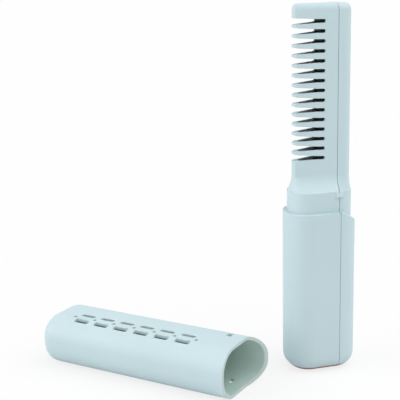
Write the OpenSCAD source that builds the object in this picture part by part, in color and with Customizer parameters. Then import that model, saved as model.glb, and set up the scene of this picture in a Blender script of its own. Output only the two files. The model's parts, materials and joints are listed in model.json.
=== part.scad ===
// Cordless straightening comb with its cap taken off and laid beside it.
// The comb stands on its base at the origin: teeth to -X, spine to +X, front face to -Y.

/* [Grip] */
// Width of the grip from the teeth side to the spine side
grip_w = 41; // [40:0.2:50]
// Depth of the grip from front to back
grip_d = 29.8; // [29:0.2:38]
// Radius of the upright corners of the grip
grip_corner = 13.5; // [12:0.1:14.2]
// Rounding between the sides and the flat base
base_round = 8.5; // [7:0.1:10]
// Height of the rim that the cap closes on
rim_z = 94.8; // [94:0.2:120]
// How far the rim falls round the spine end
rim_drop = 7.6; // [4:0.2:9]
// Distance from the axis where the rim starts to fall
rim_from = 7.4; // [5:0.2:10]

/* [Housing] */
// Wall thickness of the grip and neck
wall = 1.8; // [1.5:0.1:2]
// Distance of the upright seam from the axis
seam_x = 7.4; // [7.2:0.1:7.8]
// Width of the seam between the two shells
seam_gap = 0.2; // [0.2:0.05:0.4]
// Width of the step between the grip and the neck
neck_step = 2.4; // [2:0.1:3]
// Height of the neck above the rim
neck_h = 11.6; // [10:0.2:20]
// Height of the flare that carries the neck into the head
flare_h = 9.6; // [8:0.2:16]
// How far the latch bumps stand out of the neck
latch_proud = 0.9; // [0.3:0.1:1]
// Width of the latch bumps
latch_w = 5; // [3:0.2:7]
// Height of the latch bumps
latch_h = 3.2; // [2:0.1:3.2]

/* [Head] */
// Width of the head from tooth tips to spine
head_w = 32.6; // [31:0.2:36]
// Height of the head above the flare
head_h = 94; // [93:0.5:110]
// Thickness of the head at the tooth tips
tip_t = 6; // [5.6:0.1:7]
// Thickness of the head at the spine
spine_t = 18.8; // [17:0.2:20]
// Height of the rounding round the top of the head
top_round = 3.8; // [1.5:0.1:4]
// Thickness of the guard walls round the heating comb
guard_wall = 1.7; // [1.2:0.1:1.8]

/* [Guard teeth] */
// Number of free teeth between the two end blocks
tooth_count = 14; // [6:1:14]
// Distance from one tooth to the next
tooth_pitch = 5.37; // [5.2:0.01:5.6]
// Height of a slot between two teeth at its root
slot_h = 2; // [1.6:0.1:2.4]
// Height of a slot near the tips
slot_mouth_h = 3; // [2.4:0.1:3.2]
// Distance of the slot roots from the axis, towards the spine
slot_root_x = 0.8; // [0:0.1:2]
// Height of the solid block above the first slot's middle
top_block_h = 9.4; // [8:0.2:12]
// Length over which the tooth tips narrow
tooth_tip_len = 5.4; // [1:0.2:6]
// How much each side of a tooth tip narrows
tooth_tip_drop = 0.9; // [0.5:0.05:1]

/* [Heating comb] */
// Distance of the hot teeth behind the guard tips
comb_setback = 4; // [3:0.1:5]
// Clearance between the heating comb and the guard
comb_clear = 0.3; // [0.2:0.05:0.5]
// Depth of the gaps between the hot teeth
hot_gap_depth = 10.6; // [7:0.2:12]
// Distance of the back of the heating comb from the axis
comb_back_x = 6.4; // [6:0.1:6.8]
// Length of one ceramic heater
heater_len = 22; // [16:0.5:23]
// Thickness of one ceramic heater
heater_t = 2.4; // [1.8:0.1:2.6]
// Width of one ceramic heater
heater_w = 6.4; // [5:0.2:7]

/* [Controls] */
// Diameter of the power button
button_d = 11.6; // [9:0.2:12]
// Height of the power button above the base
button_z = 70; // [60:0.5:74]
// How far the button stands out of the back face
button_proud = 0.5; // [0.3:0.1:0.8]
// How far the button travels
button_travel = 0.6; // [0.3:0.05:0.7]
// Height of the row of indicator lights above the base
light_z = 55; // [46:0.5:57]
// Distance from one light to the next
light_pitch = 4; // [3:0.2:5]

/* [Power] */
// Diameter of one battery cell
cell_d = 18.2; // [17:0.1:18.3]
// Length of one battery cell
cell_len = 65; // [60:0.5:66]
// Thickness of the circuit boards
board_t = 1.2; // [0.8:0.1:1.6]
// Height of the lower edge of the control board above the base
board_z = 22; // [20:0.5:26]
// Height of the control board
board_h = 66; // [62:0.5:68]

/* [Base] */
// Thickness of the coloured base plate
base_t = 1.8; // [1.2:0.1:2]
// Distance of the two base screws from the axis
base_screw_x = 11.6; // [11.4:0.1:11.9]
// Width of the charging socket
socket_w = 8.9; // [8.8:0.1:9.2]
// Height of the charging socket's opening
socket_t = 3.2; // [3.1:0.1:3.4]
// Distance of the charging socket behind the axis
socket_y = 3.4; // [3.2:0.1:3.6]

/* [Cap] */
// Length of the cap from its rim to its closed end
cap_len = 124.5; // [120:0.5:140]
// Wall thickness of the cap
cap_wall = 2; // [1.4:0.1:2]
// Number of vent slots in each of the two rows
vent_count = 6; // [3:1:7]
// Distance from one vent slot to the next
vent_pitch = 13.75; // [12:0.05:14]
// Length of a vent slot
vent_len = 9.4; // [6:0.2:10]
// Width of a vent slot
vent_w = 2.8; // [1.5:0.1:4]
// Distance between the two rows of vent slots
vent_rows = 7.2; // [7:0.2:10]
// Diameter of the small round vents
vent_dot_d = 2; // [1.4:0.1:2.6]
// Turn of the cap about the upright axis
cap_turn = 44.7; // [0:0.1:90]
// Place of the middle of the cap's mouth along X
cap_x = -56.4; // [-80:0.1:-52]
// Place of the middle of the cap's mouth along Y
cap_y = -24.6; // [-60:0.1:-20]

/* [Hidden] */

$fn = 48;
eps = 0.01;
far = 1000;

shell_color = [0.74, 0.83, 0.85];
rose_gold = [0.72, 0.42, 0.36];
black_ceramic = [0.05, 0.05, 0.055];
steel = [0.75, 0.76, 0.78];
board_green = [0.08, 0.33, 0.20];
dark_plastic = [0.16, 0.17, 0.18];
heat_plastic = [0.55, 0.50, 0.42];

// Heights along the comb
neck_z = rim_z + neck_h;
head_z = neck_z + flare_h;
top_z = head_z + head_h;
first_slot_z = top_z - top_block_h;
slot_count = tooth_count + 1;
last_slot_z = first_slot_z - tooth_count * tooth_pitch;
block_drop = 0.3;

// Sections of the neck and head
neck_w = grip_w - 2 * neck_step;
neck_d = grip_d - 2 * neck_step;
neck_corner = grip_corner - neck_step;
tip_r = tip_t / 2 - 0.2;
spine_r = 6;
arc_steps = 10;

// Angle of the normal of the head's slanted faces
tip_c = [-head_w / 2 + tip_r, tip_t / 2 - tip_r];
spine_c = [head_w / 2 - spine_r, spine_t / 2 - spine_r];
face_span = norm(spine_c - tip_c);
face_turn = atan2(spine_c[1] - tip_c[1], spine_c[0] - tip_c[0]) + acos((tip_r - spine_r) / face_span);

// Heating comb
comb_tip_x = -head_w / 2 + comb_setback;
hot_gap_x = comb_tip_x + hot_gap_depth;
comb_inset = guard_wall + comb_clear;
comb_margin = 4.2;
comb_z0 = last_slot_z - comb_margin;
comb_z1 = first_slot_z + comb_margin;
seat_t = 1.2;
head_room_z0 = comb_z0 - seat_t;
head_room_z1 = comb_z1 + seat_t;
heater_gap = 3.8;
heater_count = 3;
heater_mid_z = (comb_z0 + comb_z1) / 2;
heater_step = heater_len + heater_gap;
clamp_t = 0.8;
film_t = 0.2;
film_over = 0.4;
clamp_x = comb_back_x + heater_t + film_t;
clamp_screw_len = heater_t + film_t + clamp_t + 4;
clamp_screw_d = 1.8;
clamp_head_d = 3.2;
clamp_head_h = 1;
clamp_thread = 5;
clamp_w = 7.2;
clamp_post_d = 3.4;
clamp_end = 2.2;
clamp_screw_rows = [for (i = [0:heater_count]) heater_mid_z + (i - heater_count / 2) * heater_step];

// Back wall, boards and button
back_in = grip_d / 2 - wall;
front_in = -back_in;
lid_gap = 0.3;
flange_t = 0.8;
flange_over = 1;
button_gap = 0.3;
board_y = back_in - 5.1;
board_face = board_y + board_t;
plunger_top = back_in - lid_gap - flange_t;
switch_h = 1.9;
switch_w = 6;
plunger_d = 3.2;
plunger_clear = 0.1;
board_w = 20;
board_mid_x = -3;
board_screw_z = [board_z + 4, board_z + board_h - 4];
boss_d = 4.4;
screw_d = 1.6;
screw_head_d = 2.8;
screw_head_h = 0.9;
thread_clear = 0.1;
hole_clear = 0.2;
light_d = 1.6;
light_clear = 0.1;
guide_t = 1.2;
guide_half = light_d / 2 + 0.6;

// Cells and cradle
cell_gap = 0.2;
cell_x = (cell_d + cell_gap) / 2;
cell_y = -2.4;
tray_z = 11.7;
tray_t = 1.6;
tab_t = 0.2;
tab_w = 6;
cell_z = tray_z + tray_t + tab_t;
cell_top = cell_z + cell_len;
cup_h = 5;
cup_clear = 0.3;
cradle_gap = 0.4;
cradle_edge_y = board_y - 1.2;
roof_z = cell_top + tab_t + 0.4;
lead_d = 1.4;
joint_swell = 0.1;
lead_pair_x = 1.6;

// Base
base_seam = 0.15;
floor_z = base_t + base_seam;
base_inset = base_round - sqrt(pow(base_round, 2) - pow(base_round - base_t, 2));
lip_w = 1.6;
opening_inset = base_inset + lip_w;
plug_clear = 0.12;
plug_t = 1.2;
plug_h = 4.6;
base_screw_d = 1.9;
base_head_d = 3.8;
base_head_h = 1;
base_head_z = 0.2;
base_screw_len = 9;
base_boss_d = 5.4;
base_post_d = 5.6;
charge_post_d = 4;
base_boss_z0 = 5;
base_boss_z1 = tray_z - 0.2;
charge_z = 9.2;
charge_w = 16;
charge_d = 17;
charge_screw = [[-5.8, -6], [5.8, -6]];
socket_clear = 0.25;
socket_wall = 0.3;
socket_depth = 6;
tongue_w = 6.6;
tongue_t = 0.7;
tongue_z = 0.6;

// Cap
latch_z = neck_z - latch_h / 2 - 0.1;
latch_slope = 0.9;
latch_clear = 0.15;
cap_gap = neck_step - cap_wall;
slit_in = latch_slope * cap_gap / latch_proud - latch_clear;
slit_w = latch_w - 2 * slit_in;
slit_h = latch_h - 2 * slit_in;
vent_x = -7.6;
vent_z0 = 23.2;
vent_depth = 2.5 * cap_wall;

// Section helpers

// Upright rounded section, inset all round by k
module section(w, d, r, k = 0) {
    square([w - 2 * r, d - 2 * k], center = true);
    square([w - 2 * k, d - 2 * r], center = true);
    for (sx = [-1, 1], sy = [-1, 1])
        translate([sx * (w / 2 - r), sy * (d / 2 - r)])
            circle(r - k);
}

// Quarter-round edge profile: reaches out to a, starts at the floor and rises to height rb
module edge_profile(a, rb) {
    square([a - rb, rb]);
    intersection() {
        translate([a - rb, rb]) circle(rb);
        translate([a - rb, 0]) square([rb, rb]);
    }
}

// Block on the section w x d, its lower edge rounded by rb, up to height h
module pebble(w, d, r, rb, h) {
    translate([0, 0, rb]) linear_extrude(h - rb) section(w, d, r);
    for (sx = [-1, 1], sy = [-1, 1])
        translate([sx * (w / 2 - r), sy * (d / 2 - r), 0])
            rotate_extrude() edge_profile(r, rb);
    for (s = [0, 180]) {
        rotate([0, 0, s]) translate([0, d / 2 - r, 0]) rotate([90, 0, 0])
            linear_extrude(d - 2 * r) translate([w / 2 - r, 0]) edge_profile(r, rb);
        rotate([0, 0, s + 90]) translate([0, w / 2 - r, 0]) rotate([90, 0, 0])
            linear_extrude(w - 2 * r) translate([d / 2 - r, 0]) edge_profile(r, rb);
    }
    translate([-w / 2 + r, -d / 2 + r, 0]) cube([w - 2 * r, d - 2 * r, rb]);
}

// How far the rim has fallen at the distance x from the axis
function rim_fall(x) = rim_drop * pow(max(0, (x - rim_from) / (grip_w / 2 - rim_from)), 1.5);

rim_steps = 12;
rim_line = [for (i = [0:rim_steps]) rim_from + i * (grip_w / 2 + 0.4 - rim_from) / rim_steps];

// Everything below the rim, lowered by k
module below_rim(k = 0) {
    rotate([90, 0, 0]) linear_extrude(far, center = true)
        polygon(concat([[-far / 2, -far / 2], [-far / 2, rim_z - k]],
            [for (x = rim_line) [x, rim_z - k - rim_fall(x)]],
            [[far / 2, rim_z - k - rim_fall(grip_w / 2)], [far / 2, -far / 2]]));
}

// Grip without its neck, inset by k
module grip_body(k = 0) {
    intersection() {
        translate([0, 0, k])
            pebble(grip_w - 2 * k, grip_d - 2 * k, grip_corner - k, base_round - k, rim_z);
        below_rim(k);
    }
}

// Neck, inset by k, from inside the grip up to its crisp upper edge
module neck_body(k = 0) {
    z0 = rim_z - rim_drop - 4;
    translate([0, 0, z0]) linear_extrude(neck_z - k - z0)
        section(neck_w, neck_d, neck_corner, k);
}

// One corner's arc of a ring
function arc(c, r, a0, a1) =
    [for (i = [0:arc_steps]) let (a = a0 + (a1 - a0) * i / arc_steps) c + r * [cos(a), sin(a)]];

// Ring round the wedge-shaped head, inset by k at the spine and by j at the teeth
function head_ring(k, j) = concat(
    arc(spine_c, spine_r - k, 0, face_turn),
    arc(tip_c, tip_r - j, face_turn, 180),
    arc([tip_c[0], -tip_c[1]], tip_r - j, 180, 360 - face_turn),
    arc([spine_c[0], -spine_c[1]], spine_r - k, 360 - face_turn, 360));

// Ring round the head, inset by k all round
function wedge_ring(k) = head_ring(k, k);

// Ring just inside the neck's upper edge, with the same number of points
neck_ledge = 0.3;
function neck_ring() =
    let (cx = neck_w / 2 - neck_corner, cy = neck_d / 2 - neck_corner, r = neck_corner - neck_ledge)
    concat(
        arc([cx, cy], r, 0, 90),
        arc([-cx, cy], r, 90, 180),
        arc([-cx, -cy], r, 180, 270),
        arc([cx, -cy], r, 270, 360));

// Solid through a stack of rings, each a list of points with its height
module loft(rings) {
    n = len(rings[0]);
    m = len(rings);
    points = [for (ring = rings) each ring];
    sides = [for (j = [0:m - 2], i = [0:n - 1]) each
        [[j * n + i, (j + 1) * n + (i + 1) % n, j * n + (i + 1) % n],
         [j * n + i, (j + 1) * n + i, (j + 1) * n + (i + 1) % n]]];
    polyhedron(points, concat(sides,
        [[for (i = [0:n - 1]) i]],
        [[for (i = [0:n - 1]) m * n - 1 - i]]));
}

function raise(ring, z) = [for (p = ring) [p[0], p[1], z]];

flare_steps = 12;
round_steps = 6;
tip_top_round = min(top_round, tip_r - 0.4);

// Flare and head: a concave ramp off the neck, straight sides, and a rounded top
module head_body() {
    loft(concat(
        [raise(neck_ring(), neck_z - 1)],
        [for (i = [0:flare_steps]) let (t = i / flare_steps, q = pow(1 - t, 2))
            raise(wedge_ring(0) * (1 - q) + neck_ring() * q, neck_z + flare_h * t)],
        [for (i = [0:round_steps]) let (a = 90 * i / round_steps, c = 1 - cos(a))
            raise(head_ring(top_round * c, tip_top_round * c), top_z - top_round * (1 - sin(a)))]));
}

// Head's wedge section, inset by k
module wedge_section(k) {
    polygon(wedge_ring(k));
}

// Half-space on the spine side of the plane x
module beyond(x) {
    translate([x, -far / 2, -far / 2]) cube(far);
}

// Room inside the head, open towards the spine
module head_room(k) {
    intersection() {
        translate([0, 0, head_room_z0]) linear_extrude(head_room_z1 - head_room_z0) wedge_section(k);
        beyond(comb_tip_x - comb_clear);
    }
}

// Passage for the leads from the neck to the head
lead_room_x0 = 4.4;
lead_room_x1 = 12.6;
lead_room_d = 9.8;
module lead_room() {
    translate([lead_room_x0, -lead_room_d / 2, neck_z - wall - 4])
        cube([lead_room_x1 - lead_room_x0, lead_room_d, head_room_z0 - neck_z + wall + 5]);
}

// Height of half a slot at the distance x from the axis
slot_grow_x = -3.5;
slot_tip_x = -head_w / 2;
slot_taper_x = slot_tip_x + tooth_tip_len;
function slot_half(x, tip_drop) =
    let (u = max(0, (slot_grow_x - x) / (slot_grow_x - slot_taper_x)),
         v = max(0, (slot_taper_x - x) / tooth_tip_len))
    slot_h / 2 + (slot_mouth_h - slot_h) / 2 * min(u, 1)
        + tip_drop * (1 - sqrt(max(0, 1 - pow(min(v, 1), 2))));

slot_line = concat([slot_root_x - slot_h / 2],
    [slot_grow_x],
    [for (a = [0:15:90]) slot_taper_x - tooth_tip_len * sin(a)],
    [slot_tip_x - 1]);

// Outline of one slot at height 0, its upper and lower edges narrowing the teeth beside it
module slot_outline(drop_up, drop_down) {
    translate([slot_root_x - slot_h / 2, 0]) circle(slot_h / 2);
    polygon(concat(
        [for (x = slot_line) [x, slot_half(x, drop_up)]],
        [for (i = [len(slot_line) - 1:-1:0]) [slot_line[i], -slot_half(slot_line[i], drop_down)]]));
}

// Every slot between the guard teeth, cut from front to back; the end blocks keep square corners
module guard_slots() {
    rotate([90, 0, 0]) linear_extrude(spine_t + 2, center = true)
        for (i = [0:slot_count - 1])
            translate([0, first_slot_z - i * tooth_pitch])
                slot_outline(i == 0 ? block_drop : tooth_tip_drop,
                    i == slot_count - 1 ? block_drop : tooth_tip_drop);
}

// Latch bump w wide across the profile: full width at the wall, drawn in by its slopes at the crest
module latch_profile(w) {
    polygon([[-w / 2, -1], [-w / 2, 0], [latch_slope - w / 2, latch_proud],
        [w / 2 - latch_slope, latch_proud], [w / 2, 0], [w / 2, -1]]);
}

// Latch bumps across the seam, on both broad faces of the neck
module latch_bumps() {
    for (s = [0, 180])
        translate([seam_x, 0, latch_z]) rotate([0, 0, s]) translate([0, neck_d / 2, 0])
            intersection() {
                linear_extrude(latch_h, center = true) latch_profile(latch_w);
                rotate([90, 0, 90]) linear_extrude(latch_w, center = true)
                    rotate(-90) latch_profile(latch_h);
            }
}

// Outer form of both shells together
module outer_body() {
    grip_body();
    neck_body();
    head_body();
    latch_bumps();
}

// Room that the battery cells need, which is cut into the wall where the grip is small
cell_room_clear = 0.15;
module cell_room() {
    at_cells() translate([0, 0, cell_z - cell_room_clear])
        cylinder(d = cell_d + 2 * cell_room_clear, h = cell_len + 2 * cell_room_clear);
}

// Hollow of both shells together
module inner_room() {
    grip_body(wall);
    cell_room();
    neck_body(wall);
    head_room(guard_wall);
    lead_room();
    translate([0, 0, -1]) linear_extrude(base_round)
        section(grip_w, grip_d, grip_corner, opening_inset);
}

// Housing shells

lip_t = 0.8;
lip_reach = 1.2;
lip_z0 = 8;
lip_z1 = rim_z - rim_drop - 8;

// Half thickness of the wall that the lip takes, from the room outwards
module lip_band(k, z0, z1) {
    translate([0, 0, z0]) linear_extrude(z1 - z0) difference() {
        section(grip_w, grip_d, grip_corner, wall - k);
        section(grip_w, grip_d, grip_corner, wall);
    }
}

// Boss with a screw hole, held to both broad walls by a rib
module base_boss(x) {
    rib_t = 1.6;
    difference() {
        union() {
            translate([x, 0, base_boss_z0]) cylinder(d = base_boss_d, h = base_boss_z1 - base_boss_z0);
            intersection() {
                translate([x - rib_t / 2, -grip_d / 2, base_boss_z0 + 2])
                    cube([rib_t, grip_d, base_boss_z1 - base_boss_z0 - 2]);
                grip_body(wall / 2);
            }
        }
        translate([x, 0, base_boss_z0 - 1]) cylinder(d = base_screw_d + thread_clear, h = far);
    }
}

// Bosses on the back wall that carry the control board
module board_bosses() {
    for (z = board_screw_z)
        translate([board_mid_x, back_in + wall / 2, z]) rotate([90, 0, 0]) difference() {
            cylinder(d = boss_d, h = back_in + wall / 2 - board_face);
            translate([0, 0, wall]) cylinder(d = screw_d + thread_clear, h = far);
        }
}

module main_shell() {
    color(shell_color) {
        difference() {
            outer_body();
            inner_room();
            beyond(seam_x - seam_gap / 2);
            translate([-far / 2, -far / 2, floor_z - far]) cube(far);
            guard_slots();
            translate([0, back_in - 1, button_z]) rotate([-90, 0, 0])
                cylinder(d = button_d + 2 * button_gap, h = far);
            for (i = [-1:1])
                translate([i * light_pitch, back_in - 1, light_z]) rotate([-90, 0, 0])
                    cylinder(d = light_d + 2 * light_clear, h = far);
        }
        intersection() {
            lip_band(lip_t, lip_z0, lip_z1);
            beyond(seam_x - 1);
            translate([seam_x + lip_reach - far, -far / 2, 0]) cube(far);
        }
        base_boss(-base_screw_x);
        board_bosses();
    }
}

module spine_cover() {
    color(shell_color) {
        difference() {
            outer_body();
            inner_room();
            translate([seam_x + seam_gap / 2 - far, -far / 2, -far / 2]) cube(far);
            translate([-far / 2, -far / 2, floor_z - far]) cube(far);
            intersection() {
                lip_band(lip_t + 0.15, lip_z0 - 0.3, lip_z1 + 0.3);
                translate([seam_x + lip_reach + 0.3 - far, -far / 2, 0]) cube(far);
            }
        }
        base_boss(base_screw_x);
    }
}

// Base

module socket_outline(w, t) {
    square([w - t, t], center = true);
    for (s = [-1, 1]) translate([s * (w - t) / 2, 0]) circle(d = t);
}

module end_cap() {
    color(rose_gold) difference() {
        union() {
            intersection() {
                pebble(grip_w, grip_d, grip_corner, base_round, base_round + 1);
                translate([0, 0, base_t / 2]) cube([far, far, base_t], center = true);
            }
            translate([0, 0, base_t - eps]) linear_extrude(plug_h - base_t) difference() {
                section(grip_w, grip_d, grip_corner, opening_inset + plug_clear);
                section(grip_w, grip_d, grip_corner, opening_inset + plug_clear + plug_t);
            }
            for (s = [-1, 1])
                translate([s * base_screw_x, 0, base_t - eps])
                    cylinder(d = base_post_d, h = base_boss_z0 - 0.1 - base_t);
            for (p = charge_screw)
                translate([p[0], p[1], base_t - eps])
                    cylinder(d = charge_post_d, h = charge_z - base_t + eps);
        }
        for (s = [-1, 1]) translate([s * base_screw_x, 0, -1]) {
            cylinder(d = base_screw_d + hole_clear, h = far);
            cylinder(d = base_head_d + 2 * hole_clear, h = 1 + base_head_z + base_head_h);
        }
        for (p = charge_screw)
            translate([p[0], p[1], base_t + 1]) cylinder(d = screw_d + thread_clear, h = far);
        translate([0, socket_y, -1]) linear_extrude(far)
            socket_outline(socket_w + 2 * socket_clear, socket_t + 2 * socket_clear);
    }
}

// Pan-head screw pointing up, its head's outer face at height 0
module screw(d, head_d, head_h, len) {
    difference() {
        union() {
            cylinder(d = head_d, h = head_h);
            cylinder(d = d, h = head_h + len);
        }
        for (a = [0, 90]) rotate([0, 0, a])
            translate([-head_d * 0.3, -0.2, -1]) cube([head_d * 0.6, 0.4, 1 + head_h * 0.5]);
    }
}

module end_cap_screws() {
    color(steel) for (s = [-1, 1])
        translate([s * base_screw_x, 0, base_head_z])
            screw(base_screw_d, base_head_d, base_head_h, base_screw_len);
}

module charge_board() {
    color(board_green) difference() {
        translate([-charge_w / 2, -charge_d / 2, charge_z]) cube([charge_w, charge_d, board_t]);
        for (p = charge_screw) translate([p[0], p[1], 0]) cylinder(d = screw_d + hole_clear, h = far);
    }
}

module charge_screws() {
    color(steel) for (p = charge_screw)
        translate([p[0], p[1], charge_z + board_t + screw_head_h]) rotate([180, 0, 0])
            screw(screw_d, screw_head_d, screw_head_h, board_t + 3.3);
}

module usb_port() {
    mouth_z = 0.3;
    color(steel) translate([0, socket_y, mouth_z]) difference() {
        linear_extrude(charge_z - mouth_z) socket_outline(socket_w, socket_t);
        difference() {
            translate([0, 0, -1]) linear_extrude(socket_depth + 1)
                socket_outline(socket_w - 2 * socket_wall, socket_t - 2 * socket_wall);
            translate([-tongue_w / 2, -tongue_t / 2, tongue_z]) cube([tongue_w, tongue_t, socket_depth]);
        }
    }
}

// Controls

module power_button() {
    r = button_d / 2;
    face = grip_d / 2 + button_proud;
    color(shell_color) translate([0, 0, button_z]) rotate([-90, 0, 0]) rotate_extrude()
        polygon([[0, plunger_top], [r + flange_over, plunger_top], [r + flange_over, plunger_top + flange_t],
            [r, plunger_top + flange_t], [r, face - 0.5], [r - 0.15, face - 0.15], [r - 0.5, face],
            [r - 1.2, face], [r - 2.6, face - 0.25], [0, face - 0.45]]);
}

module switch_plunger() {
    bottom = board_face + button_travel + plunger_clear;
    color(dark_plastic) translate([0, bottom, button_z]) rotate([-90, 0, 0])
        cylinder(d = plunger_d, h = plunger_top - bottom);
}

module tactile_switch() {
    color(steel) difference() {
        translate([-switch_w / 2, board_face, button_z - switch_w / 2])
            cube([switch_w, switch_h, switch_w]);
        translate([0, board_face + 0.05, button_z]) rotate([-90, 0, 0])
            cylinder(d = plunger_d + 2 * plunger_clear, h = 20);
    }
}

module light_guide() {
    color([0.93, 0.95, 0.95]) {
        translate([-light_pitch - guide_half, back_in - guide_t, light_z - guide_half])
            cube([2 * light_pitch + 2 * guide_half, guide_t, 2 * guide_half]);
        for (i = [-1:1])
            translate([i * light_pitch, back_in - guide_t / 2, light_z]) rotate([-90, 0, 0])
                cylinder(d = light_d, h = wall + guide_t / 2 - 0.05);
    }
}

module indicator_leds() {
    led_w = 1.6;
    led_h = 0.8;
    color([0.95, 0.93, 0.82]) for (i = [-1:1])
        translate([i * light_pitch - led_w / 2, board_face, light_z - led_h / 2]) cube([led_w, led_h, led_h]);
}

module control_board() {
    color(board_green) difference() {
        translate([board_mid_x - board_w / 2, board_y, board_z]) cube([board_w, board_t, board_h]);
        for (z = board_screw_z) translate([board_mid_x, 0, z]) rotate([-90, 0, 0])
            cylinder(d = screw_d + hole_clear, h = far);
    }
}

// Chips and coils: place across and up the control board, then width, height and thickness
chips = [[-4, 14, 7, 7, 1], [5, 14, 4, 5, 1.4], [-5, 24, 4, 3, 1.4], [1.5, 24, 5, 5, 2.4],
    [7.5, 24, 2, 1.2, 0.8], [7.5, 20, 2, 1.2, 0.8], [-6.5, 40, 3, 5, 1.2], [-6.5, 56, 3, 6, 1.2]];
module board_chips() {
    color(dark_plastic) for (c = chips)
        translate([board_mid_x + c[0] - c[2] / 2, board_face, board_z + c[1] - c[3] / 2])
            cube([c[2], c[4], c[3]]);
}

module board_screws() {
    color(steel) for (z = board_screw_z)
        translate([board_mid_x, board_y - screw_head_h, z]) rotate([-90, 0, 0])
            screw(screw_d, screw_head_d, screw_head_h, board_t + 3);
}

// Battery

module at_cells() {
    for (s = [-1, 1]) translate([s * cell_x, cell_y, 0]) children();
}

module battery_cells() {
    r = cell_d / 2;
    edge = 0.5;
    rim = 1;
    pole_r = 3;
    color([0.25, 0.45, 0.70]) at_cells() translate([0, 0, cell_z]) rotate_extrude()
        polygon([[0, 0], [r - edge, 0], [r, edge], [r, cell_len - rim - edge], [r - edge, cell_len - rim],
            [r - rim - edge, cell_len - rim], [pole_r, cell_len - rim + 0.1], [pole_r - 0.2, cell_len],
            [0, cell_len]]);
}

module battery_tabs() {
    pole_tab_w = 5;
    color(steel) {
        translate([-cell_x - tab_w / 2, cell_y - tab_w / 2, cell_z - tab_t])
            cube([2 * cell_x + tab_w, tab_w, tab_t]);
        at_cells() translate([-pole_tab_w / 2, -pole_tab_w / 2, cell_top])
            cube([pole_tab_w, pole_tab_w, tab_t]);
    }
}

// Plate of the cradle, cut off before the control board
module cradle_plate(z, h) {
    translate([0, 0, z]) linear_extrude(h) intersection() {
        section(grip_w, grip_d, grip_corner, wall + cradle_gap);
        translate([-far / 2, cradle_edge_y - far]) square(far);
    }
}

module battery_cradle() {
    strip_w = 4;
    strip_t = 1.4;
    tab_slot_w = tab_w + 0.4;
    notch_w = 5.2;
    color([0.88, 0.88, 0.86]) difference() {
        union() {
            cradle_plate(tray_z, tray_t + cup_h);
            cradle_plate(roof_z - cup_h, cup_h + tray_t);
            translate([-strip_w / 2, front_in + cradle_gap, tray_z])
                cube([strip_w, strip_t, roof_z - tray_z]);
        }
        at_cells() translate([0, 0, tray_z + tray_t])
            cylinder(d = cell_d + 2 * cup_clear, h = roof_z - tray_z - tray_t);
        at_cells() cylinder(d = lead_d + 1.6, h = far);
        translate([-cell_x, cell_y - tab_slot_w / 2, tray_z + tray_t]) cube([2 * cell_x, tab_slot_w, 1]);
        // Way for the charging leads through the lower plate and cups
        translate([-notch_w / 2, cell_y, tray_z - 1]) cube([notch_w, grip_d, tray_t + cup_h + 2]);
    }
}

// Round lead through a list of points
module lead(points, d = lead_d) {
    for (i = [0:len(points) - 2]) {
        v = points[i + 1] - points[i];
        translate(points[i]) rotate([0, acos(v[2] / norm(v)), atan2(v[1], v[0])])
            cylinder(d = d, h = norm(v), $fn = 24);
    }
    for (i = [1:1:len(points) - 2])
        let (u = points[i] - points[i - 1], v = points[i + 1] - points[i],
             bend = acos(u * v / norm(u) / norm(v)))
            translate(points[i]) sphere(d = d / cos(bend / 2) + joint_swell, $fn = 24);
}

module battery_leads() {
    over_z = roof_z + tray_t + 0.8;
    pad_z = board_z + board_h - 2.5;
    pad_x = 6;
    color([0.75, 0.10, 0.08]) for (s = [-1, 1])
        lead([[s * cell_x, cell_y, cell_top + tab_t], [s * cell_x, cell_y, over_z],
            [s * cell_x, cell_y + 3, pad_z], [board_mid_x + s * pad_x, board_y - 2, pad_z],
            [board_mid_x + s * pad_x, board_y, pad_z]]);
}

module charge_leads() {
    start_y = cradle_edge_y - 2;
    start_z = charge_z + board_t;
    end_y = board_y + board_t / 2;
    color([0.10, 0.10, 0.10]) for (x = [-lead_pair_x, lead_pair_x])
        lead([[x, start_y, start_z], [x, start_y, start_z + 4],
            [x, end_y, board_z - 4], [x, end_y, board_z]]);
}

// Heating parts

// Front view of the heating comb: a solid back with tapered teeth behind the guard teeth
module hot_outline() {
    root_half = 0.3;
    shoulder_half = tooth_pitch / 2 - 1;
    tip_half = tooth_pitch / 2 - 0.45;
    shoulder_x = 1.2 - hot_gap_depth;
    tip_x = -1 - hot_gap_depth;
    difference() {
        translate([comb_tip_x, comb_z0]) square([comb_back_x - comb_tip_x, comb_z1 - comb_z0]);
        for (i = [0:slot_count - 1]) translate([hot_gap_x, first_slot_z - i * tooth_pitch])
            polygon([[0, root_half], [0, -root_half], [shoulder_x, -shoulder_half], [tip_x, -tip_half],
                [tip_x, tip_half], [shoulder_x, shoulder_half]]);
    }
}

module heating_comb() {
    color(black_ceramic) difference() {
        intersection() {
            translate([0, 0, comb_z0]) linear_extrude(comb_z1 - comb_z0) wedge_section(comb_inset);
            rotate([90, 0, 0]) linear_extrude(spine_t, center = true) hot_outline();
        }
        for (z = clamp_screw_rows) translate([comb_back_x - clamp_thread, 0, z]) rotate([0, 90, 0])
            cylinder(d = clamp_screw_d + thread_clear, h = far);
    }
}

module comb_seats() {
    seat_w = 5;
    color(heat_plastic) for (z = [head_room_z0, comb_z1])
        translate([0, 0, z]) linear_extrude(seat_t) intersection() {
            wedge_section(comb_inset);
            translate([-seat_w, -spine_t / 2]) square([comb_back_x + seat_w, spine_t]);
        }
}

module at_heaters() {
    for (i = [0:heater_count - 1])
        translate([0, 0, heater_mid_z + (i - (heater_count - 1) / 2) * heater_step]) children();
}

module ceramic_heaters() {
    color([0.85, 0.84, 0.80]) at_heaters()
        translate([comb_back_x, -heater_w / 2, -heater_len / 2]) cube([heater_t, heater_w, heater_len]);
}

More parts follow.
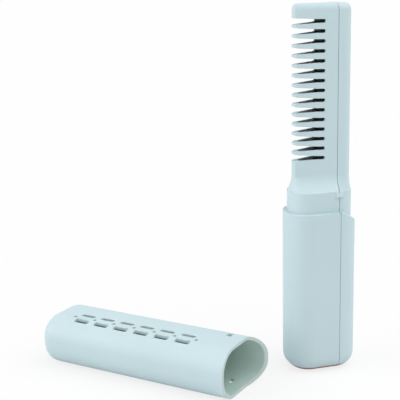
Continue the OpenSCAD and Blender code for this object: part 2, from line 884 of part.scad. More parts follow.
module heater_film() {
    color([0.80, 0.45, 0.10]) at_heaters()
        translate([comb_back_x + heater_t, -heater_w / 2 - film_over, -heater_len / 2])
            cube([film_t, heater_w + 2 * film_over, heater_len]);
}

module heater_clamp() {
    span = clamp_screw_rows[heater_count] - clamp_screw_rows[0] + 2 * clamp_end;
    color(steel) difference() {
        union() {
            translate([clamp_x, -clamp_w / 2, heater_mid_z - span / 2]) cube([clamp_t, clamp_w, span]);
            for (z = clamp_screw_rows) translate([comb_back_x, 0, z]) rotate([0, 90, 0])
                cylinder(d = clamp_post_d, h = clamp_x - comb_back_x + eps);
        }
        for (z = clamp_screw_rows) translate([0, 0, z]) rotate([0, 90, 0])
            cylinder(d = clamp_screw_d + hole_clear, h = far);
    }
}

module clamp_screws() {
    color(steel) for (z = clamp_screw_rows)
        translate([clamp_x + clamp_t + clamp_head_h, 0, z]) rotate([0, -90, 0])
            screw(clamp_screw_d, clamp_head_d, clamp_head_h, clamp_screw_len);
}

module thermistor() {
    bead_r = 0.8;
    bead_half = 1;
    wire_d = 0.5;
    wire_x = 0.35;
    wire_len = 12;
    beside_y = heater_w / 2 + film_over + bead_r + 0.15;
    color([0.12, 0.12, 0.12]) translate([comb_back_x + bead_r, beside_y, clamp_screw_rows[1]]) {
        rotate_extrude()
            polygon([[0, -bead_half], [bead_r - 0.1, -bead_half], [bead_r, -0.7], [bead_r, 0.6],
                [0.5, bead_half], [0, bead_half]]);
        for (s = [-1, 1]) translate([s * wire_x, 0, -wire_len])
            cylinder(d = wire_d, h = wire_len - bead_half + 0.2);
    }
}

module thermal_fuse() {
    sleeve_d = 2.2;
    sleeve_len = 10;
    wire_d = 0.7;
    wire_len = 11;
    beside_y = heater_w / 2 + film_over + sleeve_d / 2 - 0.2;
    color([0.80, 0.80, 0.74])
        translate([comb_back_x + sleeve_d / 2, -beside_y, heater_mid_z - sleeve_len / 2]) {
            cylinder(d = sleeve_d, h = sleeve_len, $fn = 24);
            translate([0, 0, -wire_len]) cylinder(d = wire_d, h = wire_len + 0.5, $fn = 16);
        }
}

module heater_leads() {
    start = [comb_back_x + heater_t / 2, 2.6, clamp_screw_rows[0] + heater_gap / 2];
    bend_z = neck_z + 1.5;
    end = [board_mid_x + 5, board_y + board_t / 2, board_z + board_h];
    color([0.85, 0.85, 0.82]) for (s = [-1, 1])
        lead([[start[0], s * start[1], start[2]], [start[0], s * start[1], bend_z],
            [end[0] + s * lead_pair_x, end[1], end[2] + 4], [end[0] + s * lead_pair_x, end[1], end[2]]]);
}

// Cap, drawn as if on the comb, with its rim at height 0 and its closed end up
module cap_solid(k) {
    translate([0, 0, cap_len - k]) mirror([0, 0, 1])
        pebble(grip_w - 2 * k, grip_d - 2 * k, grip_corner - k, base_round - k, cap_len + rim_drop + 2);
}

// Rounded vent slot, lying along the cap
module vent_slot() {
    square([vent_w, vent_len - vent_w], center = true);
    for (s = [-1, 1]) translate([0, s * (vent_len - vent_w) / 2]) circle(d = vent_w, $fn = 24);
}

// Vents over the teeth side: round ones in the middle and a row of slots on each side of them
module cap_vents() {
    translate([vent_x, vent_depth - grip_d / 2, vent_z0])
        rotate([90, 0, 0]) linear_extrude(vent_depth + 1) {
            for (i = [0:vent_count]) translate([0, i * vent_pitch]) circle(d = vent_dot_d, $fn = 24);
            for (i = [0:vent_count - 1], s = [-1, 1])
                translate([s * vent_rows / 2, (i + 0.5) * vent_pitch]) vent_slot();
        }
}

module cap_shell() {
    color(shell_color)
        translate([cap_x, cap_y, grip_d / 2]) rotate([0, 0, cap_turn]) rotate([-90, 0, 0])
            difference() {
                cap_solid(0);
                cap_solid(cap_wall);
                translate([0, 0, -rim_z]) below_rim();
                cap_vents();
                for (s = [-1, 1])
                    translate([seam_x - slit_w / 2, s * grip_d / 2 - 3, latch_z - rim_z - slit_h / 2])
                        cube([slit_w, 6, slit_h]);
            }
}

main_shell();
spine_cover();
end_cap();
end_cap_screws();
power_button();
switch_plunger();
tactile_switch();
light_guide();
indicator_leds();
control_board();
board_chips();
board_screws();
battery_cells();
battery_tabs();
battery_cradle();
battery_leads();
charge_board();
charge_screws();
charge_leads();
usb_port();
heating_comb();
comb_seats();
ceramic_heaters();
heater_film();
heater_clamp();
clamp_screws();
thermistor();
thermal_fuse();
heater_leads();
cap_shell();
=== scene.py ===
import json
import math
import bmesh
import bpy
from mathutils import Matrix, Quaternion, Vector
from mathutils.bvhtree import BVHTree


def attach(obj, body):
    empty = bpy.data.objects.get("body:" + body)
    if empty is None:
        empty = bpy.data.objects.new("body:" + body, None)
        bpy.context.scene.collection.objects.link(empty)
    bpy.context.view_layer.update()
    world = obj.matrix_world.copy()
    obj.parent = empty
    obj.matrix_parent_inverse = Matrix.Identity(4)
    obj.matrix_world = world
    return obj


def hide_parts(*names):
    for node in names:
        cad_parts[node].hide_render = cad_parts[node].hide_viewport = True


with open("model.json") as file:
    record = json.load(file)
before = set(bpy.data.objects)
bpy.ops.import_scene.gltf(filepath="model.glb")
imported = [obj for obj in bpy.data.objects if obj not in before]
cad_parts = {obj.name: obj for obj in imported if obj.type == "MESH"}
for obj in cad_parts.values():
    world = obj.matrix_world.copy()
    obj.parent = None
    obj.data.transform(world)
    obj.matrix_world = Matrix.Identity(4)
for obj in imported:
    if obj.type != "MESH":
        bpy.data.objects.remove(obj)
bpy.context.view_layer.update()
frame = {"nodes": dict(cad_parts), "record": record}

mm = 0.001
print("frame loaded:", len(frame["nodes"]), "nodes")


# Camera first, so that every later choice is judged from it
cameraSettings = {
    "place": (-206.3 * mm, -496.2 * mm, 233.9 * mm),
    "heading": (0.2644, 0.9644, 0.0),
    "pitch": -13.98,      # degrees, below the horizon
    "roll": -1.36,        # degrees
    "lens": 86.7,
    "sensor": 36.0,
    "clip": (0.02, 60.0),
}


def makeCamera(s):
    data = bpy.data.cameras.new("photoCamera")
    data.lens = s["lens"]
    data.sensor_width = s["sensor"]
    data.clip_start, data.clip_end = s["clip"]
    camera = bpy.data.objects.new("photoCamera", data)
    bpy.context.scene.collection.objects.link(camera)
    level = Vector(s["heading"]).normalized()
    tilt = math.radians(s["pitch"])
    ahead = level * math.cos(tilt) + Vector((0, 0, math.sin(tilt)))
    camera.rotation_mode = "QUATERNION"
    camera.location = s["place"]
    camera.rotation_quaternion = (ahead.to_track_quat("-Z", "Y")
                                  @ Quaternion((0, 0, 1), math.radians(s["roll"])))
    bpy.context.scene.camera = camera


makeCamera(cameraSettings)
print("camera placed")


# Helpers for the materials
def newNode(tree, kind, place=(0, 0), **values):
    node = tree.nodes.new(kind)
    node.location = place
    for name, value in values.items():
        setattr(node, name, value)
    return node


def setInputs(node, values):
    for name, value in values.items():
        node.inputs[name].default_value = value


# What both groups give, and the shader input that takes it
groupOutputs = {
    "Color": ("NodeSocketColor", "Base Color"),
    "Roughness": ("NodeSocketFloat", "Roughness"),
    "Normal": ("NodeSocketVector", "Normal"),
}


def newGroup(name, colors, inputs):
    group = bpy.data.node_groups.new(name, "ShaderNodeTree")
    for label in colors:
        group.interface.new_socket(name=label, in_out="INPUT", socket_type="NodeSocketColor")
    for label, value in inputs.values():
        kind = "NodeSocketVector" if isinstance(value, tuple) else "NodeSocketFloat"
        group.interface.new_socket(name=label, in_out="INPUT", socket_type=kind)
    for label, (kind, target) in groupOutputs.items():
        group.interface.new_socket(name=label, in_out="OUTPUT", socket_type=kind)
    entry = newNode(group, "NodeGroupInput", (-900, 0))
    leave = newNode(group, "NodeGroupOutput", (900, 0))
    return group, entry, leave


# Fine grain of a moulding tool, with slow drifts in tone and sheen
grainInputs = {
    "grain": ("Grain Scale", 5200.0),
    "depth": ("Grain Depth", 0.012 * mm),
    "drift": ("Drift Scale", 26.0),
    "rough": ("Roughness", 0.5),
    "spread": ("Roughness Spread", 0.06),
    "edge": ("Edge Radius", 0.3 * mm),
}
grainSettings = {
    "grainNoise": {"Detail": 3.0, "Roughness": 0.6},
    "driftNoise": {"Detail": 4.0, "Roughness": 0.55},
    "driftRange": {"From Min": 0.32, "From Max": 0.68},
    "edgeSamples": 6,
    "edgeRange": {"From Min": 0.985, "From Max": 0.8},
    "edgeSheen": -0.08,
}


def buildMoldedGrain(s):
    group, entry, leave = newGroup("Molded Grain", ("Color", "Second Color"), grainInputs)
    links = group.links.new
    coords = newNode(group, "ShaderNodeTexCoord", (-900, 300))
    grain = newNode(group, "ShaderNodeTexNoise", (-650, 300))
    setInputs(grain, s["grainNoise"])
    drift = newNode(group, "ShaderNodeTexNoise", (-650, 0))
    setInputs(drift, s["driftNoise"])
    links(coords.outputs["Object"], grain.inputs["Vector"])
    links(coords.outputs["Object"], drift.inputs["Vector"])
    links(entry.outputs["Grain Scale"], grain.inputs["Scale"])
    links(entry.outputs["Drift Scale"], drift.inputs["Scale"])
    spread = newNode(group, "ShaderNodeMapRange", (-430, 0))
    setInputs(spread, s["driftRange"])
    links(drift.outputs["Fac"], spread.inputs["Value"])
    tone = newNode(group, "ShaderNodeMix", (-200, 160), data_type="RGBA")
    links(spread.outputs["Result"], tone.inputs["Factor"])
    links(entry.outputs["Color"], tone.inputs["A"])
    links(entry.outputs["Second Color"], tone.inputs["B"])
    # edge mask: how far a rounded normal leans away from the face
    soft = newNode(group, "ShaderNodeBevel", (-650, -300), samples=s["edgeSamples"])
    links(entry.outputs["Edge Radius"], soft.inputs["Radius"])
    face = newNode(group, "ShaderNodeNewGeometry", (-650, -450))
    lean = newNode(group, "ShaderNodeVectorMath", (-430, -350), operation="DOT_PRODUCT")
    links(soft.outputs["Normal"], lean.inputs[0])
    links(face.outputs["Normal"], lean.inputs[1])
    edge = newNode(group, "ShaderNodeMapRange", (-200, -350))
    setInputs(edge, s["edgeRange"])
    links(lean.outputs["Value"], edge.inputs["Value"])
    # roughness drifts with the same noise and is a touch lower on the edges
    swing = newNode(group, "ShaderNodeMath", (-200, -60), operation="MULTIPLY_ADD")
    links(spread.outputs["Result"], swing.inputs[0])
    links(entry.outputs["Roughness Spread"], swing.inputs[1])
    links(entry.outputs["Roughness"], swing.inputs[2])
    worn = newNode(group, "ShaderNodeMath", (20, -120), operation="MULTIPLY_ADD")
    links(edge.outputs["Result"], worn.inputs[0])
    worn.inputs[1].default_value = s["edgeSheen"]
    links(swing.outputs["Value"], worn.inputs[2])
    bump = newNode(group, "ShaderNodeBump", (20, -300))
    links(entry.outputs["Grain Depth"], bump.inputs["Distance"])
    links(grain.outputs["Fac"], bump.inputs["Height"])
    links(soft.outputs["Normal"], bump.inputs["Normal"])
    links(tone.outputs["Result"], leave.inputs["Color"])
    links(worn.outputs["Value"], leave.inputs["Roughness"])
    links(bump.outputs["Normal"], leave.inputs["Normal"])
    return group


# Straight draw lines of sheet metal, brighter and darker by turns
lineInputs = {
    "lines": ("Line Scale", (9000.0, 9000.0, 300.0)),
    "depth": ("Line Depth", 0.006 * mm),
    "rough": ("Roughness", 0.3),
    "spread": ("Roughness Spread", 0.15),
}
lineSettings = {
    "noise": {"Scale": 1.0, "Detail": 4.0, "Roughness": 0.7},
    "shade": {"From Min": 0.3, "From Max": 0.7, "To Min": 0.86, "To Max": 1.08},
}


def buildDrawnMetal(s):
    group, entry, leave = newGroup("Drawn Metal", ("Color",), lineInputs)
    links = group.links.new
    coords = newNode(group, "ShaderNodeTexCoord", (-900, 300))
    stretch = newNode(group, "ShaderNodeVectorMath", (-700, 200), operation="MULTIPLY")
    links(coords.outputs["Object"], stretch.inputs[0])
    links(entry.outputs["Line Scale"], stretch.inputs[1])
    lines = newNode(group, "ShaderNodeTexNoise", (-500, 200))
    setInputs(lines, s["noise"])
    links(stretch.outputs["Vector"], lines.inputs["Vector"])
    shade = newNode(group, "ShaderNodeMapRange", (-280, 250))
    setInputs(shade, s["shade"])
    links(lines.outputs["Fac"], shade.inputs["Value"])
    tint = newNode(group, "ShaderNodeVectorMath", (0, 250), operation="SCALE")
    links(entry.outputs["Color"], tint.inputs[0])
    links(shade.outputs["Result"], tint.inputs["Scale"])
    gloss = newNode(group, "ShaderNodeMath", (0, 0), operation="MULTIPLY_ADD")
    links(lines.outputs["Fac"], gloss.inputs[0])
    links(entry.outputs["Roughness Spread"], gloss.inputs[1])
    links(entry.outputs["Roughness"], gloss.inputs[2])
    bump = newNode(group, "ShaderNodeBump", (0, -250))
    links(entry.outputs["Line Depth"], bump.inputs["Distance"])
    links(lines.outputs["Fac"], bump.inputs["Height"])
    links(tint.outputs["Vector"], leave.inputs["Color"])
    links(gloss.outputs["Value"], leave.inputs["Roughness"])
    links(bump.outputs["Normal"], leave.inputs["Normal"])
    return group


moldedGrain = buildMoldedGrain(grainSettings)
drawnMetal = buildDrawnMetal(lineSettings)


def newMaterial(name):
    material = bpy.data.materials.new(name)
    material.use_nodes = True
    tree = material.node_tree
    shader = next(n for n in tree.nodes if n.type == "BSDF_PRINCIPLED")
    return material, tree, shader


# Colours and changes go to the group, shaderInputs go to the shader itself
def groupMaterial(name, group, inputs, colors, changes, shaderInputs):
    material, tree, shader = newMaterial(name)
    node = newNode(tree, "ShaderNodeGroup", (-400, 0), node_tree=group)
    setInputs(node, {label: (*color, 1) for label, color in colors.items()})
    setInputs(node, {label: changes.get(key, value) for key, (label, value) in inputs.items()})
    for label, (kind, target) in groupOutputs.items():
        tree.links.new(node.outputs[label], shader.inputs[target])
    setInputs(shader, shaderInputs)
    return material


def moldedMaterial(name, color, second, shaderInputs={}, **changes):
    return groupMaterial(name, moldedGrain, grainInputs, {"Color": color, "Second Color": second},
                         changes, shaderInputs)


def metalMaterial(name, color, **changes):
    return groupMaterial(name, drawnMetal, lineInputs, {"Color": color}, changes, {"Metallic": 1.0})


finishes = {
    "shell": moldedMaterial("paleBluePlastic", (0.517, 0.657, 0.694), (0.502, 0.640, 0.678),
                            rough=0.46, spread=0.08),
    # painted shade: the cap's hollow inside and its mouth rim take darker, greener copies of the
    # shell colour
    "paintedShadeCapInside": moldedMaterial("paintedShadeCapInsidePlastic", (0.490, 0.630, 0.580), (0.475, 0.612, 0.560)),
    "paintedShadeCapRim": moldedMaterial("paintedShadeCapRimPlastic", (0.490, 0.590, 0.580), (0.475, 0.575, 0.560)),
    "button": moldedMaterial("buttonPlastic", (0.512, 0.650, 0.688), (0.492, 0.632, 0.672),
                             grain=7000.0, depth=0.006 * mm, rough=0.4),
    "base_plate": moldedMaterial("copperCoat", (0.46, 0.15, 0.11), (0.40, 0.125, 0.09),
                                 {"Metallic": 0.3, "Specular IOR Level": 0.3},
                                 grain=9000.0, depth=0.005 * mm, rough=0.40, spread=0.08),
    "comb_coating": moldedMaterial("blackCeramicCoat", (0.004, 0.005, 0.006), (0.007, 0.008, 0.010),
                                   {"Specular IOR Level": 0.12}, grain=8000.0, depth=0.006 * mm,
                                   rough=0.42, spread=0.08, edge=0.15 * mm),
    "markPaint": moldedMaterial("buttonMarkPaint", (0.34, 0.43, 0.46), (0.31, 0.40, 0.43),
                                grain=9000.0, depth=0.004 * mm, rough=0.36, spread=0.05),
    "contact": metalMaterial("contactGold", (0.83, 0.62, 0.28), lines=(9000.0, 9000.0, 2000.0),
                             depth=0.003 * mm, rough=0.22, spread=0.1),
    "steel": metalMaterial("sheetSteel", (0.60, 0.61, 0.63)),
    "dark_plastic": moldedMaterial("chipPlastic", (0.045, 0.045, 0.05), (0.06, 0.06, 0.064)),
    "light_guide": moldedMaterial("clearWindow", (0.82, 0.88, 0.88), (0.78, 0.85, 0.86),
                                  grain=3000.0, depth=0.003 * mm, rough=0.22, spread=0.05),
    "led": moldedMaterial("lampLens", (0.80, 0.76, 0.52), (0.74, 0.68, 0.42), rough=0.3),
    "board": moldedMaterial("solderMask", (0.035, 0.19, 0.09), (0.03, 0.15, 0.075),
                            drift=400.0, rough=0.36),
    "cell": moldedMaterial("cellSleeve", (0.07, 0.18, 0.40), (0.06, 0.15, 0.34), rough=0.28),
    "cradle": moldedMaterial("cradlePlastic", (0.70, 0.70, 0.68), (0.66, 0.66, 0.63)),
    "red_lead": moldedMaterial("redLeadCover", (0.48, 0.03, 0.02), (0.40, 0.025, 0.02), rough=0.42),
    "black_lead": moldedMaterial("blackLeadCover", (0.02, 0.02, 0.02), (0.03, 0.03, 0.03),
                                 rough=0.45),
    "white_lead": moldedMaterial("whiteLeadCover", (0.72, 0.72, 0.69), (0.66, 0.66, 0.62),
                                 rough=0.45),
    "heat_plastic": moldedMaterial("heatProofPlastic", (0.33, 0.28, 0.20), (0.29, 0.24, 0.17),
                                   rough=0.55),
    "ceramic": moldedMaterial("heaterCeramic", (0.78, 0.77, 0.73), (0.72, 0.71, 0.66),
                              grain=3500.0, depth=0.02 * mm, rough=0.62),
    "film": moldedMaterial("amberFilm", (0.52, 0.20, 0.03), (0.46, 0.17, 0.025), rough=0.2),
    "fuse": moldedMaterial("fuseSleeve", (0.58, 0.58, 0.52), (0.52, 0.52, 0.46)),
}
slotOf = {part["node"]: part["material_slot"] for part in frame["record"]["subparts"]}
for nodeName, cadNode in frame["nodes"].items():
    cadNode.data.materials.clear()
    cadNode.data.materials.append(finishes[slotOf[nodeName]])
print("finishes placed on", len(slotOf), "nodes")


# Copies of the seen pieces, each joined into one skin, with their sharp edges rounded
housingSettings = {
    "mainHousing": {"node": "main_shell", "rounding": 0.12 * mm, "above": 8.5 * mm},
    "spineHousing": {"node": "spine_cover", "rounding": 0.12 * mm, "above": 8.5 * mm},
    "capHousing": {"node": "cap_shell", "rounding": 0.3 * mm, "above": 0.0},
    "hotComb": {"node": "heating_comb", "rounding": 0.15 * mm, "above": 0.0},
    "buttonCap": {"node": "power_button", "rounding": 0.15 * mm, "above": 0.0},
    "basePlate": {"node": "end_cap", "rounding": 0.1 * mm, "above": 0.0},
}
joinDistance = 0.002 * mm
flatAngle = math.radians(0.5)       # faces closer than this are joined
sharpAngle = math.radians(40)       # edges sharper than this are rounded
smoothAngle = math.radians(32)      # edges flatter than this are shaded smooth
roundSteps = 2


def onlySelect(piece):
    bpy.ops.object.select_all(action="DESELECT")
    piece.select_set(True)
    bpy.context.view_layer.objects.active = piece


def skinOf(nodeName, name):
    source = frame["nodes"][nodeName]
    piece = source.copy()
    piece.data = source.data.copy()
    piece.name = piece.data.name = name
    bpy.context.scene.collection.objects.link(piece)
    onlySelect(piece)
    bpy.ops.object.mode_set(mode="EDIT")
    bpy.ops.mesh.select_all(action="SELECT")
    bpy.ops.mesh.remove_doubles(threshold=joinDistance)
    bpy.ops.mesh.dissolve_limited(angle_limit=flatAngle)
    bpy.ops.object.mode_set(mode="OBJECT")
    return piece


# Rounds the sharp edges for which wanted() is true
def roundEdges(piece, offset, segments, wanted):
    onlySelect(piece)
    bpy.ops.object.mode_set(mode="EDIT")
    bpy.ops.mesh.select_mode(type="EDGE")
    bpy.ops.mesh.select_all(action="DESELECT")
    mesh = bmesh.from_edit_mesh(piece.data)
    for edge in mesh.edges:
        if edge.is_manifold and edge.calc_face_angle() > sharpAngle and wanted(edge):
            edge.select = True
    mesh.select_flush_mode()
    bmesh.update_edit_mesh(piece.data)
    bpy.ops.mesh.bevel(offset=offset, segments=segments, profile=0.5, clamp_overlap=False)
    bpy.ops.object.mode_set(mode="OBJECT")


# Zero-area faces and doubled points that bevels and cuts leave
def cleanMesh(piece):
    onlySelect(piece)
    bpy.ops.object.mode_set(mode="EDIT")
    bpy.ops.mesh.select_all(action="SELECT")
    bpy.ops.mesh.dissolve_degenerate(threshold=joinDistance / 2)
    bpy.ops.object.mode_set(mode="OBJECT")


def smoothSkin(piece):
    cleanMesh(piece)
    bpy.ops.object.shade_smooth_by_angle(angle=smoothAngle)
    weigh = piece.modifiers.new("weigh", "WEIGHTED_NORMAL")
    weigh.keep_sharp = True
    bpy.ops.object.modifier_apply(modifier=weigh.name)


# Rim of the grip, a step all round the neck
rimSettings = {"low": 84 * mm, "high": 96 * mm, "rounding": 0.4 * mm, "segments": 3, "level": 0.6}


def rimEdge(edge):
    ends = [v.co.z for v in edge.verts]
    levels = [abs(face.normal.z) > rimSettings["level"] for face in edge.link_faces]
    return (min(ends) > rimSettings["low"] and max(ends) < rimSettings["high"]
            and edge.is_convex and levels.count(True) == 1)


# Seam of the grip and neck, which shows less than that of the head
seamSettings = {"x": 7.4 * mm, "half": 0.3 * mm, "top": 106 * mm, "rounding": 0.03 * mm,
                "segments": 1}


def fineSeamEdge(edge):
    return all(abs(v.co.x - seamSettings["x"]) < seamSettings["half"]
               and v.co.z < seamSettings["top"] for v in edge.verts)


# Rims of the light holes, which the clear windows fill and which stay sharp
lampSettings = {"z": 55 * mm, "height": 1.3 * mm, "back": 12.5 * mm, "reach": 6 * mm}


def lampEdge(edge):
    return all(abs(v.co.z - lampSettings["z"]) < lampSettings["height"]
               and v.co.y > lampSettings["back"]
               and abs(v.co.x) < lampSettings["reach"] for v in edge.verts)


# Inside of the cap: faces that look at another of its faces across the hollow take painted shade, a
# darker, greener copy of the shell colour;
# rim: those that look out of its mouth take a second painted shade, also darker and greener than
# the shell
capShadeSettings = {"reach": 60 * mm, "lift": 0.02 * mm, "rimWay": (0.70339, -0.71080, 0.0),
                  "rimLean": 0.6}


def paintCapShade(piece, s):
    rimWay = Vector(s["rimWay"])
    mesh = bmesh.new()
    mesh.from_mesh(piece.data)
    tree = BVHTree.FromBMesh(mesh)
    piece.data.materials.append(finishes["paintedShadeCapInside"])      # becomes material 1
    piece.data.materials.append(finishes["paintedShadeCapRim"])         # becomes material 2
    # faces in the hollow get painted shade (material 1), faces on the mouth rim a second painted
    # shade (material 2)
    for face in mesh.faces:
        start = face.calc_center_median() + face.normal * s["lift"]
        hit = tree.ray_cast(start, face.normal, s["reach"])
        if hit[0] is not None:
            face.material_index = 1
        elif face.normal.dot(rimWay) > s["rimLean"]:
            face.material_index = 2
    mesh.to_mesh(piece.data)
    mesh.free()


# Lowest edge of the comb's shells, which has the colour of the base plate
trimSettings = {"top": 2.68 * mm, "slack": 0.05 * mm}


def trimEdge(piece, s):
    onlySelect(piece)
    bpy.ops.object.mode_set(mode="EDIT")
    bpy.ops.mesh.select_all(action="SELECT")
    bpy.ops.mesh.bisect(plane_co=(0, 0, s["top"]), plane_no=(0, 0, 1), threshold=joinDistance)
    bpy.ops.object.mode_set(mode="OBJECT")
    piece.data.materials.append(finishes["base_plate"])     # becomes material 1
    for face in piece.data.polygons:
        if max(piece.data.vertices[i].co.z for i in face.vertices) < s["top"] + s["slack"]:
            face.material_index = 1


# Latch bumps across the seam: the crest becomes a ramp, low at the top and steep below
latchSettings = {
    "x": 7.4 * mm, "z": 104.7 * mm, "crest": 13.4 * mm, "slack": 0.01 * mm,
    "reach": (2.6 * mm, 1.7 * mm), "middle": 0.8 * mm,
    "halfWidth": 2.15 * mm, "halfHeight": 1.3 * mm, "topCrest": 12.7 * mm,
}


def shapeLatch(piece, s):
    for v in piece.data.vertices:
        aside, above = v.co.x - s["x"], v.co.z - s["z"]
        onCrest = abs(abs(v.co.y) - s["crest"]) < s["slack"]
        if onCrest and abs(aside) < s["reach"][0] and abs(above) < s["reach"][1]:
            outer = s["topCrest"] if above > 0 else s["crest"]
            across = math.copysign(s["halfWidth"], aside) if abs(aside) > s["middle"] else 0
            v.co = (s["x"] + across, math.copysign(outer, v.co.y),
                    s["z"] + math.copysign(s["halfHeight"], above))


# Teeth of the heating comb: thin blades that swell into the back. The tables give half a size
# at distances from the comb's axis
bladeSettings = {
    "cuts": (-3.3 * mm, -4.3 * mm, -5.94 * mm),
    "halfThick": ((-13.5 * mm, 0.8 * mm), (-4.3 * mm, 1.5 * mm), (-3.3 * mm, 20 * mm)),
    "halfGap": ((-13.3 * mm, 2.285 * mm), (-11.1 * mm, 2.085 * mm), (-5.94 * mm, 1.485 * mm),
                (-3.3 * mm, 0.8 * mm), (-1.7 * mm, 0.3 * mm)),
    "oldGap": ((-13.3 * mm, 2.235 * mm), (-11.1 * mm, 1.685 * mm), (-1.7 * mm, 0.3 * mm)),
    "firstSlot": 200.6 * mm, "pitch": 5.37 * mm, "slots": 15, "slack": 0.03 * mm,
}


def along(table, x):
    for (x0, y0), (x1, y1) in zip(table, table[1:]):
        if x <= x1:
            return y0 + (y1 - y0) * (x - x0) / (x1 - x0)
    return table[-1][1]


def shapeBlades(piece, s):
    onlySelect(piece)
    bpy.ops.object.mode_set(mode="EDIT")
    for x in s["cuts"]:
        bpy.ops.mesh.select_all(action="SELECT")
        bpy.ops.mesh.bisect(plane_co=(x, 0, 0), plane_no=(1, 0, 0), threshold=joinDistance)
    bpy.ops.object.mode_set(mode="OBJECT")
    for v in piece.data.vertices:
        x, y, z = v.co
        if x > s["halfGap"][-1][0] - s["slack"]:
            continue
        slot = min(max(round((s["firstSlot"] - z) / s["pitch"]), 0), s["slots"] - 1)
        off = z - (s["firstSlot"] - slot * s["pitch"])
        if abs(abs(off) - along(s["oldGap"], x)) < s["slack"]:
            z += math.copysign(along(s["halfGap"], x) - abs(off), off)
        v.co = (x, math.copysign(min(abs(y), along(s["halfThick"], x)), y), z)


def makeSkin(name, s):
    piece = skinOf(s["node"], name)
    isShell = s["above"] > 0
    if isShell:
        shapeLatch(piece, latchSettings)
        trimEdge(piece, trimSettings)
        roundEdges(piece, rimSettings["rounding"], rimSettings["segments"], rimEdge)
        roundEdges(piece, seamSettings["rounding"], seamSettings["segments"], fineSeamEdge)
    if name == "hotComb":
        shapeBlades(piece, bladeSettings)

    def wanted(edge):
        if min(v.co.z for v in edge.verts) < s["above"]:
            return False
        return not (isShell and (fineSeamEdge(edge) or lampEdge(edge)))

    roundEdges(piece, s["rounding"], roundSteps, wanted)
    if name == "capHousing":
        paintCapShade(piece, capShadeSettings)
    smoothSkin(piece)
    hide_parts(s["node"])
    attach(piece, bodyOf[s["node"]])
    print("skinned", name, len(piece.data.polygons), "faces")


bodyOf = {node: body for body, nodes in frame["record"]["behaviour"]["bodies"].items()
          for node in nodes}
for skinName, skinSettings in housingSettings.items():
    makeSkin(skinName, skinSettings)


# Small pieces made here
pieceAngle = math.radians(30)


def addPiece(piece, name, finish, body):
    piece.name = piece.data.name = name
    piece.data.materials.clear()
    piece.data.materials.append(finish)
    cleanMesh(piece)
    bpy.ops.object.transform_apply(location=True, rotation=True, scale=True)
    bpy.ops.object.shade_smooth_by_angle(angle=pieceAngle)
    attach(piece, body)
    print("made", name, len(piece.data.polygons), "faces")


# Power mark on the button: a ring with a gap at the top, and a bar in the gap
markSettings = {
    "place": (0, 15.07 * mm, 70 * mm), "radius": 1.9 * mm, "line": 0.16 * mm,
    "halfGap": 33.0,      # degrees
    "ringSteps": 60, "lineSteps": 8,
    "barLow": 0.4 * mm, "barHigh": 2.3 * mm, "barPlace": 15.03 * mm, "barSteps": 12,
    "barRounding": 0.048 * mm,
}


def makePowerMark(s):
    bpy.ops.object.select_all(action="DESELECT")
    bpy.ops.mesh.primitive_torus_add(
        major_radius=s["radius"], minor_radius=s["line"], major_segments=s["ringSteps"],
        minor_segments=s["lineSteps"], location=s["place"], rotation=(math.radians(90), 0, 0))
    ring = bpy.context.object
    bpy.ops.object.transform_apply(location=True, rotation=True, scale=True)
    bpy.ops.object.mode_set(mode="EDIT")
    bpy.ops.mesh.select_all(action="DESELECT")
    mesh = bmesh.from_edit_mesh(ring.data)
    for v in mesh.verts:
        turn = math.degrees(math.atan2(v.co.x, v.co.z - s["place"][2]))
        v.select = abs(turn) < s["halfGap"]
    mesh.select_flush_mode()
    bmesh.update_edit_mesh(ring.data)
    bpy.ops.mesh.delete(type="VERT")
    bpy.ops.mesh.select_all(action="SELECT")
    bpy.ops.mesh.fill_holes(sides=s["lineSteps"])
    bpy.ops.object.mode_set(mode="OBJECT")
    middle = s["place"][2] + (s["barLow"] + s["barHigh"]) / 2
    bpy.ops.object.select_all(action="DESELECT")
    bpy.ops.mesh.primitive_cylinder_add(
        vertices=s["barSteps"], radius=s["line"], depth=s["barHigh"] - s["barLow"],
        location=(0, s["barPlace"], middle))
    bar = bpy.context.object
    bpy.ops.object.transform_apply(location=True, rotation=True, scale=True)
    bpy.ops.object.mode_set(mode="EDIT")
    bpy.ops.mesh.select_all(action="SELECT")
    bpy.ops.mesh.bevel(offset=s["barRounding"], segments=roundSteps, clamp_overlap=True)
    bpy.ops.object.mode_set(mode="OBJECT")
    bpy.ops.object.select_all(action="DESELECT")
    ring.select_set(True)
    bar.select_set(True)
    bpy.context.view_layer.objects.active = ring
    bpy.ops.object.join()
    addPiece(ring, "powerMark", finishes["markPaint"], "button")


# Contacts in the charging socket, in two rows on the sides of its tongue
contactSettings = {
    "count": 12, "pitch": 0.5 * mm, "width": 0.26 * mm, "length": 3.4 * mm, "thick": 0.05 * mm,
    "tongueMiddle": 3.4 * mm, "tongueHalf": 0.35 * mm, "low": 1.4 * mm, "rounding": 0.018 * mm,
}


def makeContacts(s):
    bpy.ops.object.select_all(action="DESELECT")
    bpy.ops.mesh.primitive_cube_add(size=1, location=(0, 0, 0))
    pattern = bpy.context.object
    pattern.scale = (s["width"], s["thick"], s["length"])
    bpy.ops.object.transform_apply(location=True, rotation=True, scale=True)
    bpy.ops.object.mode_set(mode="EDIT")
    bpy.ops.mesh.select_all(action="SELECT")
    bpy.ops.mesh.bevel(offset=s["rounding"], segments=1)
    bpy.ops.object.mode_set(mode="OBJECT")
    for row, side in (("A", -1), ("B", 1)):
        for index in range(s["count"]):
            piece = pattern.copy()
            piece.data = pattern.data.copy()
            bpy.context.scene.collection.objects.link(piece)
            outward = s["tongueHalf"] + s["thick"] / 2 - joinDistance
            piece.location = (s["pitch"] * (index - (s["count"] - 1) / 2),
                              s["tongueMiddle"] + side * outward, s["low"] + s["length"] / 2)
            addPiece(piece, f"socketContact{row}{index + 1:02d}", finishes["contact"],
                     "comb")
    bpy.data.objects.remove(pattern)


makePowerMark(markSettings)
makeContacts(contactSettings)


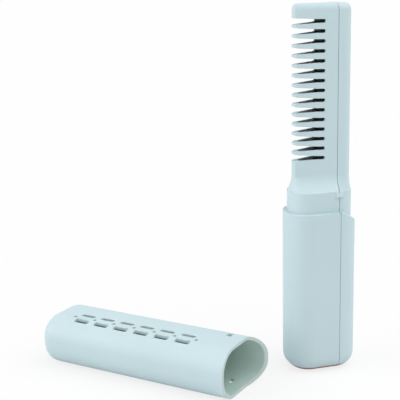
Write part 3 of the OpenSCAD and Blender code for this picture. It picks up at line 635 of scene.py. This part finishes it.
# Floor, background and lights: suns keep the level the same all over the floor
studioSettings = {
    "floorSize": 24.0,
    "floorDrop": 0.2 * mm,
    "floorColor": (0.80, 0.80, 0.80, 1.0),
    "floorRoughness": 0.9,
    "shadowShare": 0.22,      # share of the seen floor that takes the shadow
    "worldStrength": 0.565,
    # around: degrees to the left of the camera's way back; height and spread: degrees
    "suns": {
        "leftSun": {"around": 80.0, "height": 20.0, "spread": 60.0, "level": 0.486},
        "frontSun": {"around": -50.0, "height": 55.0, "spread": 60.0, "level": 0.272},
        "rightSun": {"around": -100.0, "height": 55.0, "spread": 60.0, "level": 0.303},
    },
}
white = (1.0, 1.0, 1.0, 1.0)


# The camera sees mostly plain white, with a share of the lit floor that shows the shadow
def makeFloor(s):
    bpy.ops.object.select_all(action="DESELECT")
    bpy.ops.mesh.primitive_plane_add(size=s["floorSize"], location=(0, 0, -s["floorDrop"]))
    floor = bpy.context.object
    floor.name = "studioFloor"
    material, tree, shader = newMaterial("paleFloor")
    setInputs(shader, {"Base Color": s["floorColor"], "Roughness": s["floorRoughness"],
                       "Specular IOR Level": 0.0})
    plain = newNode(tree, "ShaderNodeEmission", (-200, -250))
    setInputs(plain, {"Color": white, "Strength": 1.0})
    paths = newNode(tree, "ShaderNodeLightPath", (-600, 300))
    share = newNode(tree, "ShaderNodeMath", (-350, 300), operation="MULTIPLY")
    share.inputs[1].default_value = 1.0 - s["shadowShare"]
    tree.links.new(paths.outputs["Is Camera Ray"], share.inputs[0])
    mixed = newNode(tree, "ShaderNodeMixShader", (100, 200))
    tree.links.new(share.outputs["Value"], mixed.inputs["Fac"])
    tree.links.new(shader.outputs["BSDF"], mixed.inputs[1])
    tree.links.new(plain.outputs["Emission"], mixed.inputs[2])
    target = next(n for n in tree.nodes if n.type == "OUTPUT_MATERIAL")
    tree.links.new(mixed.outputs["Shader"], target.inputs["Surface"])
    floor.data.materials.append(material)


# Camera and mirror rays see plain white, all other rays the softer level that lights the comb
def makeWorld(s):
    world = bpy.data.worlds.new("studioWorld")
    bpy.context.scene.world = world
    world.use_nodes = True
    tree = world.node_tree
    tree.nodes.clear()
    soft = newNode(tree, "ShaderNodeBackground", (0, 0))
    setInputs(soft, {"Color": white, "Strength": s["worldStrength"]})
    seen = newNode(tree, "ShaderNodeBackground", (0, -200))
    setInputs(seen, {"Color": white, "Strength": 1.0})
    paths = newNode(tree, "ShaderNodeLightPath", (-400, 200))
    direct = newNode(tree, "ShaderNodeMath", (-200, 200), operation="MAXIMUM")
    tree.links.new(paths.outputs["Is Camera Ray"], direct.inputs[0])
    tree.links.new(paths.outputs["Is Glossy Ray"], direct.inputs[1])
    mixed = newNode(tree, "ShaderNodeMixShader", (250, 0))
    target = newNode(tree, "ShaderNodeOutputWorld", (450, 0))
    tree.links.new(direct.outputs["Value"], mixed.inputs["Fac"])
    tree.links.new(soft.outputs["Background"], mixed.inputs[1])
    tree.links.new(seen.outputs["Background"], mixed.inputs[2])
    tree.links.new(mixed.outputs["Shader"], target.inputs["Surface"])


def makeSuns(s):
    front = math.atan2(-cameraSettings["heading"][1], -cameraSettings["heading"][0])
    for name, sun in s["suns"].items():
        data = bpy.data.lights.new(name, "SUN")
        data.angle = math.radians(sun["spread"])
        data.energy = math.pi * sun["level"]
        light = bpy.data.objects.new(name, data)
        bpy.context.scene.collection.objects.link(light)
        turn = front - math.radians(sun["around"])
        rise = math.radians(sun["height"])
        toward = Vector((math.cos(turn) * math.cos(rise), math.sin(turn) * math.cos(rise),
                         math.sin(rise)))
        light.location = toward
        light.rotation_mode = "QUATERNION"
        light.rotation_quaternion = (-toward).to_track_quat("-Z", "Y")


makeFloor(studioSettings)
makeWorld(studioSettings)
makeSuns(studioSettings)
bpy.context.scene.view_settings.view_transform = "Standard"
print("studio ready")
